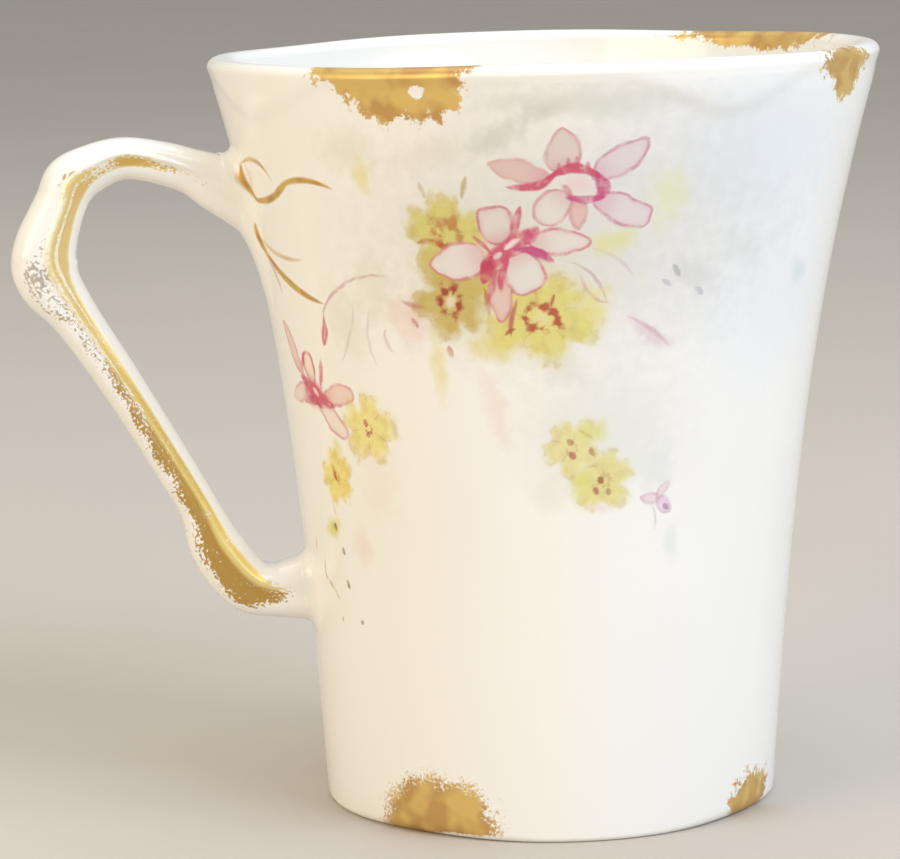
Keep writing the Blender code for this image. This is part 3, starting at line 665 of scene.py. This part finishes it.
def glazed(name, marks=(), scrolls=(), dabs=()):
    """Clear feldspar glaze over white porcelain: hard, glossy, a little uneven, with the films laid on it."""
    material, tree, shader, place = new_material(name)
    parts = add(tree, "SeparateXYZ", (place,))
    right = add(tree, "Math", (parts.outputs["X"], AXIS_X), operation="SUBTRACT")
    front = add(tree, "Math", (parts.outputs["Y"], -1.0), operation="MULTIPLY")
    around = add(tree, "Math", (right, front), operation="ARCTAN2")
    up = add(tree, "Math", (parts.outputs["Z"], MILLIMETRES), operation="MULTIPLY")
    across = add(tree, "Math", (around, PAINTED_RADIUS, FRONT_TURN * PAINTED_RADIUS),
                 operation="MULTIPLY_ADD")
    steady = add(tree, "CombineXYZ", (across, up, 0.0))
    wobble = add(tree, "TexNoise", {"Vector": place, "Scale": cells(WOBBLE), "Detail": 2.0}).outputs["Color"]
    wobble = add(tree, "VectorMath", (wobble, (0.5, 0.5, 0.5)), operation="SUBTRACT")
    point = add(tree, "VectorMath", (wobble, (1.1, 1.1, 0.0), steady), operation="MULTIPLY_ADD")
    grain = add(tree, "TexNoise", {"Vector": place, "Scale": cells(DRY_BRUSH), "Detail": 3.0})

    cloud = add(tree, "TexNoise", {"Vector": place, "Scale": cells(CLOUD), "Detail": 2.0})
    paint = add(tree, "MixRGB", (cloud, linear(PORCELAIN_WHITE), linear(PORCELAIN_CREAM)))
    for group, _, _, settings in marks:
        paint = add(tree, "Group", node_tree=group, inputs={
            "Paint": paint, "Point": point, "Grain": grain, **settings})

    # The dabs add up where they overlap, and the sponge's texture breaks their edges
    sponged = add(tree, "Math", (0.0, 0.0), operation="MULTIPLY")
    for group, _, _, settings in dabs:
        sponged = add(tree, "Group", node_tree=group, inputs={
            "Paint": sponged, "Point": point, "Grain": grain, **settings})
    patch = add(tree, "TexNoise", {"Vector": place, "Scale": cells(SPONGE_PATCH), "Detail": 1.0})
    stipple = add(tree, "TexNoise", {"Vector": place, "Scale": cells(SPONGE_STIPPLE), "Detail": 1.0})
    sponged = add(tree, "Math", (sponged, 2.2, 0.0), operation="MULTIPLY_ADD")
    sponged = add(tree, "Math", (patch, 0.5, sponged), operation="MULTIPLY_ADD")
    sponged = add(tree, "Math", (stipple, 1.2, sponged), operation="MULTIPLY_ADD")
    gold = add(tree, "MapRange", (sponged, 1.75, 2.15, 0.0, 0.95), **SMOOTH)
    for group, _, _, settings in scrolls:
        gold = add(tree, "Group", node_tree=group, inputs={
            "Paint": gold, "Point": steady, "Grain": 1.0, **settings})
    gilt = add(tree, "MapRange", (patch, 0.38, 0.62, 0.0, 1.0))
    gilt = add(tree, "MixRGB", (gilt, linear(GOLD_TAN), linear(GOLD_BRIGHT)))
    base = add(tree, "MixRGB", (gold, paint, gilt))
    metal = add(tree, "Math", (gold, GOLD_METALLIC), operation="MULTIPLY")
    rough = add(tree, "MapRange", (cloud, 0.3, 0.7, 0.10, 0.17))
    rough = add(tree, "MixRGB", (gold, rough, (0.42, 0.42, 0.42, 1.0)))
    ripple = add(tree, "TexNoise", {"Vector": place, "Scale": cells(RIPPLE), "Detail": 1.0})
    bump = add(tree, "Bump", {"Strength": 0.25, "Distance": 0.00006, "Height": ripple})
    feed(tree, shader, {
        "Base Color": base, "Metallic": metal, "Roughness": rough, "IOR": GLAZE_IOR, "Normal": bump})
    return material


def reaching(marks, across_range, up_range):
    """The marks that reach into a panel."""
    for mark in marks:
        _, (across, up), reach, _ = mark
        beyond = max(across_range[0] - across, across - across_range[1], 0)
        above = max(up_range[0] - up, up - up_range[1], 0)
        if max(beyond, above) < reach + WOBBLE_MARGIN:
            yield mark


GRINDING_GRIT, FOOT_STAIN = 0.625, 7.14


def biscuit():
    """The foot ring, ground flat and bare of glaze: dull, a little rough and greyer than the glazed wall."""
    material, tree, shader, place = new_material("unglazed_biscuit_foot")
    grit = add(tree, "TexNoise", {"Vector": place, "Scale": cells(GRINDING_GRIT), "Detail": 3.0})
    stain = add(tree, "TexNoise", {"Vector": place, "Scale": cells(FOOT_STAIN), "Detail": 2.0})
    tone = add(tree, "MixRGB", (stain, linear("#E3DCCD"), linear("#C9BEA9")))
    bump = add(tree, "Bump", {"Strength": 0.5, "Distance": 0.00004, "Height": grit})
    feed(tree, shader, {"Base Color": tone, "Roughness": 0.75, "Normal": bump})
    return material


WALL, INSIDE, FOOT, FIRST_PANEL = range(4)
body_materials = [
    glazed("gilded_glaze_wall", dabs=GOLD_DABS),
    glazed("clear_glaze_inside", dabs=GOLD_DABS_INSIDE),
    biscuit(),
]
for name, marks, scrolls, across_range, up_range in PANELS:
    reached = [reaching(kind, across_range, up_range) for kind in (marks, scrolls, GOLD_DABS)]
    body_materials.append(glazed(name, *reached))
for material in body_materials:
    cup_body.data.materials.append(material)

for face in cup_body.data.polygons:
    row = face.index // BODY_COLUMNS
    centre = face.center
    if row < under_rows + 1:
        face.material_index = FOOT if centre.z < FOOT_FLAT else INSIDE
        continue
    if row >= under_rows + outside_rows - 1:
        face.material_index = INSIDE
        continue
    face.material_index = WALL
    across = (math.atan2(centre.x - AXIS_X, -centre.y) + FRONT_TURN) * PAINTED_RADIUS
    up = centre.z * MILLIMETRES
    for index, (_, _, _, across_range, up_range) in enumerate(PANELS):
        if across_range[0] < across < across_range[1] and up_range[0] < up < up_range[1]:
            face.material_index = FIRST_PANEL + index

# Handle: cast by itself in a two-part mould as a knotted twig with a groove along each flank, and luted to
# the wall while damp. The grooves are gilded, and the gold is rubbed thin on the knots.
HANDLE_STANDOFF = 0.02184
UPPER_ROOT_DROP = 0.0143
UPPER_ROOT_HEIGHT = CUP_HEIGHT - UPPER_ROOT_DROP
LOWER_ROOT_HEIGHT = 0.0227
STEM_WIDTH = 0.0050
STEM_DEPTH = 0.0060
GROOVE_DEPTH = 0.0006
ROOT_SEAT = 0.0014
SECTION_SQUARENESS = 2.4
GROOVE_HALF_ANGLE = math.radians(34)
CREST_HEIGHT = 0.00045
CREST_HALF_ANGLE = math.radians(7)
SECTION_POINTS = 120
RINGS_PER_SPAN = 16
# The twig from root to root: its share of the standoff and of the height between the roots, its width and
# depth as shares of the stem's, and the degrees from its outer edge to its groove
STATIONS = (
    (0.131, 1.046, 1.00, 1.04, 96),
    (0.295, 1.077, 0.87, 0.94, 104),
    (0.489, 1.092, 0.85, 0.92, 112),
    (0.645, 1.071, 0.96, 0.94, 120),
    (0.770, 1.038, 1.09, 1.02, 124),
    (0.845, 0.988, 1.04, 1.00, 122),
    (0.973, 0.881, 1.26, 1.08, 116),
    (1.000, 0.835, 1.35, 1.08, 113),
    (0.991, 0.792, 1.27, 1.06, 110),
    (0.913, 0.715, 0.99, 1.00, 108),
    (0.745, 0.542, 0.86, 0.94, 106),
    (0.547, 0.325, 0.82, 0.90, 100),
    (0.451, 0.216, 0.83, 0.92, 92),
    (0.379, 0.105, 1.12, 1.00, 84),
    (0.246, 0.014, 1.14, 1.02, 80),
    (0.124, -0.002, 1.10, 1.06, 84),
)
UPPER_ROOT_SHAPE = (1.64, 1.24, 90)
LOWER_ROOT_SHAPE = (1.28, 1.20, 90)
# Each flank from root to root: degrees from the outer edge to where the gold starts, to the crest and to
# where the gold ends, then how high the crest and the rib beside it stand, and how much gold is left outside
# and inside the crest
FLANKS = (
    (80, 90, 108, 0.0, 0.0, 0.00, 0.10),
    (76, 84, 112, 0.3, 0.0, 0.00, 0.30),
    (72, 79, 114, 0.6, 0.0, 0.00, 0.60),
    (69, 73, 116, 0.8, 0.0, 0.00, 1.00),
    (66, 76, 120, 0.8, 0.3, 0.10, 0.45),
    (50, 80, 134, 0.8, 0.5, 0.90, 0.90),
    (62, 88, 136, 0.9, 0.8, 0.65, 0.80),
    (64, 91, 138, 1.0, 1.0, 0.80, 0.75),
    (42, 95, 137, 1.0, 1.0, 0.90, 0.75),
    (36, 99, 134, 1.0, 0.9, 0.95, 0.75),
    (46, 97, 130, 1.0, 0.5, 0.65, 0.80),
    (48, 98, 127, 1.0, 0.1, 0.70, 0.90),
    (50, 101, 126, 1.0, 0.0, 0.95, 1.00),
    (49, 103, 126, 0.8, 0.0, 1.00, 1.00),
    (48, 106, 127, 0.5, 0.0, 1.05, 1.00),
    (48, 110, 127, 0.3, 0.0, 1.05, 1.00),
    (58, 106, 116, 0.1, 0.0, 0.85, 0.50),
    (70, 95, 100, 0.0, 0.0, 0.00, 0.00),
)
RIB_TURN = math.radians(16)
RIB_SHARE = 0.8


def through_points(rows, steps):
    """A smooth curve through rows of numbers that each begin with a point, with this many steps for each
    span. It keeps its shape where the points lie close together."""
    spans = [math.sqrt(math.dist(row[:2], after[:2])) for row, after in zip(rows, rows[1:])]
    rates = [[(b - a) / span for a, b in zip(row, after)] for row, after, span in zip(rows, rows[1:], spans)]
    slopes = [rates[0]]
    for before, after, span, next_span in zip(rates, rates[1:], spans, spans[1:]):
        slopes.append([(a * next_span + b * span) / (span + next_span) for a, b in zip(before, after)])
    slopes.append(rates[-1])
    for row, after, slope, next_slope, span in zip(rows, rows[1:], slopes, slopes[1:], spans):
        for step in range(steps):
            t = step / steps
            yield tuple(
                a + t * t * (3 - 2 * t) * (b - a) + t * (1 - t) * span * ((1 - t) * m - t * n)
                for a, b, m, n in zip(row, after, slope, next_slope)
            )
    yield tuple(rows[-1])


def on_wall(across, height, offset):
    """The point beside the handle's side of the wall, at this offset from the glaze."""
    angle = HANDLE_SIDE
    for _ in range(3):
        radius = outer_radius(angle, height) + offset
        angle = HANDLE_SIDE - math.asin(across / radius)
    return Vector((AXIS_X + radius * math.cos(angle), across, height))


def section_outline(half_width, half_depth, groove, crest=0.0, crest_share=0.0, ribs=0.0):
    """Outward and sideways offsets round the twig: a rounded lozenge with a groove along each flank, and in
    the groove a narrow crest with a rib inside it."""
    ridges = ((crest, crest_share), (crest + RIB_TURN, RIB_SHARE * ribs))
    for point in range(SECTION_POINTS):
        turn = 2 * math.pi * point / SECTION_POINTS
        out, side = math.cos(turn), math.sin(turn)
        power = SECTION_SQUARENESS
        swell = (abs(out) ** power + abs(side) ** power) ** (-1 / power)
        from_outer = abs(math.remainder(turn, 2 * math.pi))
        cut = GROOVE_DEPTH * math.exp(-((from_outer - groove) / GROOVE_HALF_ANGLE) ** 2)
        for place, share in ridges:
            cut -= CREST_HEIGHT * share * math.exp(-((from_outer - place) / CREST_HALF_ANGLE) ** 2)
        yield (half_width * swell - cut) * out, (half_depth * swell - cut) * side


course = [(ROOT_SEAT, UPPER_ROOT_HEIGHT, *UPPER_ROOT_SHAPE)]
for away, up, *shape in STATIONS:
    standoff = ROOT_SEAT + (HANDLE_STANDOFF - ROOT_SEAT) * away
    course.append((standoff, LOWER_ROOT_HEIGHT + (UPPER_ROOT_HEIGHT - LOWER_ROOT_HEIGHT) * up, *shape))
course.append((ROOT_SEAT, LOWER_ROOT_HEIGHT, *LOWER_ROOT_SHAPE))
course = [
    (outer_radius(HANDLE_SIDE, height) + standoff, height, wide * STEM_WIDTH / 2, deep * STEM_DEPTH / 2,
     math.radians(groove))
    for standoff, height, wide, deep, groove in course
]
path = list(through_points([station + flank for station, flank in zip(course, FLANKS)], RINGS_PER_SPAN))
handle_rings = []
for index, (reach, height, half_width, half_depth, groove, _, crest, _, *ridges, _, _) in enumerate(path):
    ahead = path[min(index + 1, len(path) - 1)]
    behind = path[max(index - 1, 0)]
    heading = Vector((ahead[0] - behind[0], ahead[1] - behind[1])).normalized()
    from_root = min(index, len(path) - 1 - index) / RINGS_PER_SPAN
    seated = 1 - smooth_step(from_root)
    up_sign = 1 if index < len(path) / 2 else -1
    standoff = reach - outer_radius(HANDLE_SIDE, height)
    ring = []
    for out, side in section_outline(half_width, half_depth, groove, math.radians(crest), *ridges):
        square = Vector((AXIS_X - reach + heading.y * out, side, height + heading.x * out))
        ring.append(square.lerp(on_wall(side, height + up_sign * out, standoff), seated))
    handle_rings.append(ring)
handle = lofted_piece(
    "twig_handle",
    handle_rings,
    on_wall(0.0, UPPER_ROOT_HEIGHT, ROOT_SEAT),
    on_wall(0.0, LOWER_ROOT_HEIGHT, ROOT_SEAT),
)
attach(handle, "root")
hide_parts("handle")

# For the material: each point's place along and round the twig, its distance from the gilding's edges and
# from the crest, all in millimetres, and how much gold is left there
layers = {name: [] for name in ("to_outer", "to_crest", "to_inner", "outer_gold", "inner_gold", "rib_share")}
twig_place = []
along = 0.0
for index, ring in enumerate(path):
    reach, height, half_width, half_depth, _, outer, crest, inner, _, ribs, outside, within = ring
    along += MILLIMETRES * math.dist((reach, height), path[max(index - 1, 0)][:2])
    mean_radius = MILLIMETRES * (half_width + half_depth) / 2
    for point in range(SECTION_POINTS):
        turn = math.remainder(2 * math.pi * point / SECTION_POINTS, 2 * math.pi)
        twig_place += (along, turn * mean_radius, 0.0)
        to_outer = (abs(turn) - math.radians(outer)) * mean_radius
        to_crest = (abs(turn) - math.radians(crest)) * mean_radius
        to_inner = (math.radians(inner) - abs(turn)) * mean_radius
        for values, value in zip(layers.values(), (to_outer, to_crest, to_inner, outside, within, ribs)):
            values.append(value)
layer = handle.data.attributes.new("twig_place", "FLOAT_VECTOR", "POINT")
layer.data.foreach_set("vector", twig_place + [0.0] * 6)
for name, values in layers.items():
    layer = handle.data.attributes.new(name, "FLOAT", "POINT")
    layer.data.foreach_set("value", values + [0.0, 0.0])

# Matt gold over the same glaze, worn: a dull tan film outside the crest, darker partly as painted shade on
# that side, brighter inside it, and rubbed to grey specks at the bend. Pale gold is painted highlight on the
# crest, on the rib beside it and along the gilding's inner edge, with a painted sheen on the glaze beside the
# crest at the bend. All its sizes are in millimetres
# The tan gold is partly painted shade on the side of each groove outside the crest; the grey is gold rubbed
# thin
SHADED_HANDLE_GOLD, RUBBED_GOLD = "#BC964A", "#A08F70"
MEAN_RADIUS_AT_BEND = 3.2
RIB_SPACING = RIB_TURN * MEAN_RADIUS_AT_BEND
RUBBED_PATCH, GOLD_SPECK, HANDLE_RIPPLE = 1.111, 1 / 3, 2.5
gilded, tree, shader, place = new_material("worn_gilding_on_glaze")
outer, crest, inner, outside, within, ribs = (
    add(tree, "Attribute", attribute_name=name).outputs["Fac"] for name in layers)
twig = add(tree, "Attribute", attribute_name="twig_place").outputs["Vector"]
rubbed = add(tree, "VectorMath", (twig, (0.4, 1.0, 1.0)), operation="MULTIPLY")
patch = add(tree, "TexNoise", {"Vector": rubbed, "Scale": 1 / RUBBED_PATCH, "Detail": 2.0})
speck = add(tree, "TexNoise", {"Vector": twig, "Scale": 1 / GOLD_SPECK, "Detail": 3.0})
past_crest = add(tree, "MapRange", (crest, -0.15, 0.15, 0.0, 1.0), **SMOOTH)
remaining = add(tree, "MapRange", (past_crest, 0.0, 1.0, outside, within))
start = add(tree, "MapRange", (outer, -0.6, 0.9, -0.80, 0.0))
remaining = add(tree, "Math", (remaining, start), operation="ADD")
stripes = add(tree, "MapRange", (crest, 0.0, 1.5 * RIB_SPACING, 0.0, 3 * math.pi))
stripes = add(tree, "Math", (stripes,), operation="COSINE")
stripes = add(tree, "Math", (stripes, ribs), operation="MULTIPLY")
remaining = add(tree, "Math", (stripes, -0.35, remaining), operation="MULTIPLY_ADD")
remaining = add(tree, "Math", (patch, 1.1, remaining), operation="MULTIPLY_ADD")
remaining = add(tree, "Math", (speck, 1.9, remaining), operation="MULTIPLY_ADD")
thin = add(tree, "MapRange", (remaining, 2.00, 2.28, 0.0, 1.0), **SMOOTH)
stop = add(tree, "MapRange", (inner, -0.05, 0.15, 0.0, 1.0), **SMOOTH)
gold = add(tree, "Math", (thin, stop), operation="MULTIPLY")
thinned = add(tree, "MapRange", (ribs, 0.0, 1.0, 1.0, 0.7))
gold = add(tree, "Math", (gold, thinned), operation="MULTIPLY")
cloud = add(tree, "TexNoise", {"Vector": place, "Scale": cells(CLOUD), "Detail": 2.0})
paint = add(tree, "MixRGB", (cloud, linear(PORCELAIN_WHITE), linear(PORCELAIN_CREAM)))
# Painted sheen: pale gold on the glaze beside the crest at the ribbed bend
crest_sheen = add(tree, "MapRange", (crest, -0.6, 0.1, 0.0, ribs), **SMOOTH)
crest_sheen = add(tree, "Math", (crest_sheen, stop), operation="MULTIPLY")
crest_sheen = add(tree, "Math", (crest_sheen, 0.5), operation="MULTIPLY")
paint = add(tree, "MixRGB", (crest_sheen, paint, linear(GOLD_HIGHLIGHT)))
# Outside the crest: tan gold that is partly painted shade, rubbed grey at the bend; inside it, bright gold
dull_and_shaded = add(tree, "MixRGB", (ribs, linear(SHADED_HANDLE_GOLD), linear(RUBBED_GOLD)))
gilt = add(tree, "MixRGB", (past_crest, dull_and_shaded, linear(GOLD_BRIGHT)))
# Painted highlight: pale gold along the crest, the rib beside it and the gilding's inner edge
crest_highlight = add(tree, "Math", (crest,), operation="ABSOLUTE")
rib_highlight = add(tree, "Math", (crest, RIB_SPACING), operation="SUBTRACT")
rib_highlight = add(tree, "Math", (rib_highlight,), operation="ABSOLUTE")
rib_highlight = add(tree, "MapRange", (rib_highlight, 0.05, 0.35, ribs, 0.0), **SMOOTH)
crest_highlight = add(tree, "MapRange", (crest_highlight, 0.10, 0.65, 0.9, 0.0), **SMOOTH)
crest_highlight = add(tree, "Math", (crest_highlight, rib_highlight), operation="MAXIMUM")
gilt = add(tree, "MixRGB", (crest_highlight, gilt, linear(GOLD_HIGHLIGHT)))
edge_highlight = add(tree, "MapRange", (inner, 0.0, 0.45, 0.7, 0.0), **SMOOTH)
gilt = add(tree, "MixRGB", (edge_highlight, gilt, linear(GOLD_HIGHLIGHT)))
base = add(tree, "MixRGB", (gold, paint, gilt))
metal = add(tree, "Math", (gold, GOLD_METALLIC), operation="MULTIPLY")
rough = add(tree, "MapRange", (gold, 0.0, 1.0, 0.13, 0.38))
ripple = add(tree, "TexNoise", {"Vector": place, "Scale": cells(HANDLE_RIPPLE), "Detail": 2.0})
bump = add(tree, "Bump", {"Strength": 0.3, "Distance": 0.00008, "Height": ripple})
feed(tree, shader, {
    "Base Color": base, "Metallic": metal, "Roughness": rough, "IOR": GLAZE_IOR, "Normal": bump})
handle.data.materials.append(gilded)

# Luting: the slip that bonds each handle root to the wall, wiped round into a soft fillet before the firing.
# It lies under the same clear glaze as the wall, so only its shape tells it from the wall and the handle.
FILLET_SPREAD = 0.0016
FILLET_STEPS = 16
GLAZE_SINK = 0.00003
RIM_UNDER_GLAZE = 0.0003
PAD_SINK = 0.0005
INSIDE_ROOT = 0.0002
UPPER_TAIL = 0.0075
LOWER_TAIL = 0.0006
TAIL_LIFT = 0.05


def luting(name, node, root, beside, tail):
    """One fillet, from the root's end down to the wall. It leaves the handle along the handle's own slope,
    which the ring beside the root gives, and below the root it runs out in a tail."""
    _, height, half_width, half_depth, groove, *_ = root
    to_wall = ROOT_SEAT / (beside[0] - outer_radius(HANDLE_SIDE, beside[1]) - ROOT_SEAT)
    climb, widen, deepen = (
        (at_root - next_to_it) * to_wall for at_root, next_to_it in zip(root[1:4], beside[1:4]))
    profile = [(-2 * sunk, 0.0, 0.0, ROOT_SEAT + sunk) for sunk in (2 * INSIDE_ROOT, INSIDE_ROOT)]
    for step in range(FILLET_STEPS + 1):
        t = step / FILLET_STEPS
        lift = (1 - t) ** 2 * ROOT_SEAT - t * t * GLAZE_SINK
        profile.append((t * t * FILLET_SPREAD, t * t, 2 * t * (1 - t), lift))
    profile.append((FILLET_SPREAD + RIM_UNDER_GLAZE, 1.0, 0.0, -4 * GLAZE_SINK))
    profile.append((FILLET_SPREAD + RIM_UNDER_GLAZE, 1.0, 0.0, -PAD_SINK))
    rings = []
    for grow, run, turn, offset in profile:
        wide, deep = half_width + grow + turn * widen, half_depth + grow + turn * deepen
        ring = []
        for out, side in section_outline(wide, deep, groove):
            below = max(-out / wide, 0.0)
            up = height + out + turn * climb - run * tail * below ** 1.5
            ring.append(on_wall(side, up, offset + turn * TAIL_LIFT * tail * below))
        rings.append(ring)
    pad = lofted_piece(name, rings, on_wall(0, height, profile[0][3]), on_wall(0, height, -PAD_SINK))
    pad.data.materials.append(bpy.data.materials["enamelled_glaze_by_handle"])
    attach(pad, "root")
    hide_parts(node)


luting("upper_luting", "upper_slip_joint", path[0], path[1], UPPER_TAIL)
luting("lower_luting", "lower_slip_joint", path[-1], path[-2], LOWER_TAIL)

# Studio: a plain, matt, pale floor that takes the cup's soft shadow, three soft lamps, a cool one like a
# window on the right, a warm one on the left and one above, and a camera at the photograph's viewing angle.
FLOOR_HALF = 3.0
FLOOR_MOTTLE = 111
floor_mesh = bpy.data.meshes.new("floor")
floor_mesh.from_pydata(
    [(-FLOOR_HALF, -FLOOR_HALF, 0), (FLOOR_HALF, -FLOOR_HALF, 0), (FLOOR_HALF, FLOOR_HALF, 0),
     (-FLOOR_HALF, FLOOR_HALF, 0)], [], [(0, 1, 2, 3)])
floor = bpy.data.objects.new("floor", floor_mesh)
bpy.context.scene.collection.objects.link(floor)
floor_paint, tree, shader, place = new_material("matt_floor")
mottle = add(tree, "TexNoise", {"Vector": place, "Scale": cells(FLOOR_MOTTLE), "Detail": 3.0})
tone = add(tree, "MixRGB", (mottle, linear("#CDC6BB"), linear("#C5BEB3")))
feed(tree, shader, {"Base Color": tone, "Roughness": 0.8})
floor_mesh.materials.append(floor_paint)

LAMP_AIM = (AXIS_X, 0, 0.04)
SKY_STRENGTH = 0.49
LAMPS = (
    ("window", (0.45, -0.50, 0.50), 0.55, 5.2, "#E1ECFF"),
    ("room", (-0.65, -0.35, 0.35), 0.50, 3.1, "#FFE8C2"),
    ("ceiling", (0.0, 0.15, 0.90), 0.60, 2.3, "#FFFFFF"),
)
for name, place, width, watts, colour in LAMPS:
    lamp = bpy.data.lights.new(name, "AREA")
    lamp.energy = watts
    lamp.size = width
    lamp.color = linear(colour)[:3]
    lamp_object = bpy.data.objects.new(name, lamp)
    lamp_object.matrix_world = Matrix.Translation(place) @ (
        Vector(LAMP_AIM) - Vector(place)).to_track_quat("-Z", "Y").to_matrix().to_4x4()
    bpy.context.scene.collection.objects.link(lamp_object)

world = bpy.data.worlds.new("studio")
bpy.context.scene.world = world
world.use_nodes = True
world.node_tree.nodes["Background"].inputs["Color"].default_value = linear("#FFFFFF")
world.node_tree.nodes["Background"].inputs["Strength"].default_value = SKY_STRENGTH

CAMERA_DISTANCE = 0.3809
CAMERA_HEIGHT = 0.0963
CAMERA_YAW = math.radians(-1.51)
CAMERA_PITCH = math.radians(8.68)
CAMERA_ROLL = math.radians(-0.89)
CAMERA_LENS = 148.26
camera = bpy.data.objects.new("camera", bpy.data.cameras.new("camera"))
camera.data.lens = CAMERA_LENS
camera.data.sensor_width = 36.0
camera.data.sensor_fit = "HORIZONTAL"
camera.data.clip_start = 0.01
camera.matrix_world = (
    Matrix.Translation((AXIS_X, 0, 0))
    @ Matrix.Rotation(-FRONT_TURN, 4, "Z")
    @ Matrix.Translation((0, -CAMERA_DISTANCE, CAMERA_HEIGHT))
    @ Matrix.Rotation(-CAMERA_YAW, 4, "Z")
    @ Matrix.Rotation(math.pi / 2 - CAMERA_PITCH, 4, "X")
    @ Matrix.Rotation(CAMERA_ROLL, 4, "Z")
)
bpy.context.scene.collection.objects.link(camera)
bpy.context.scene.camera = camera
bpy.context.scene.view_settings.view_transform = "Standard"
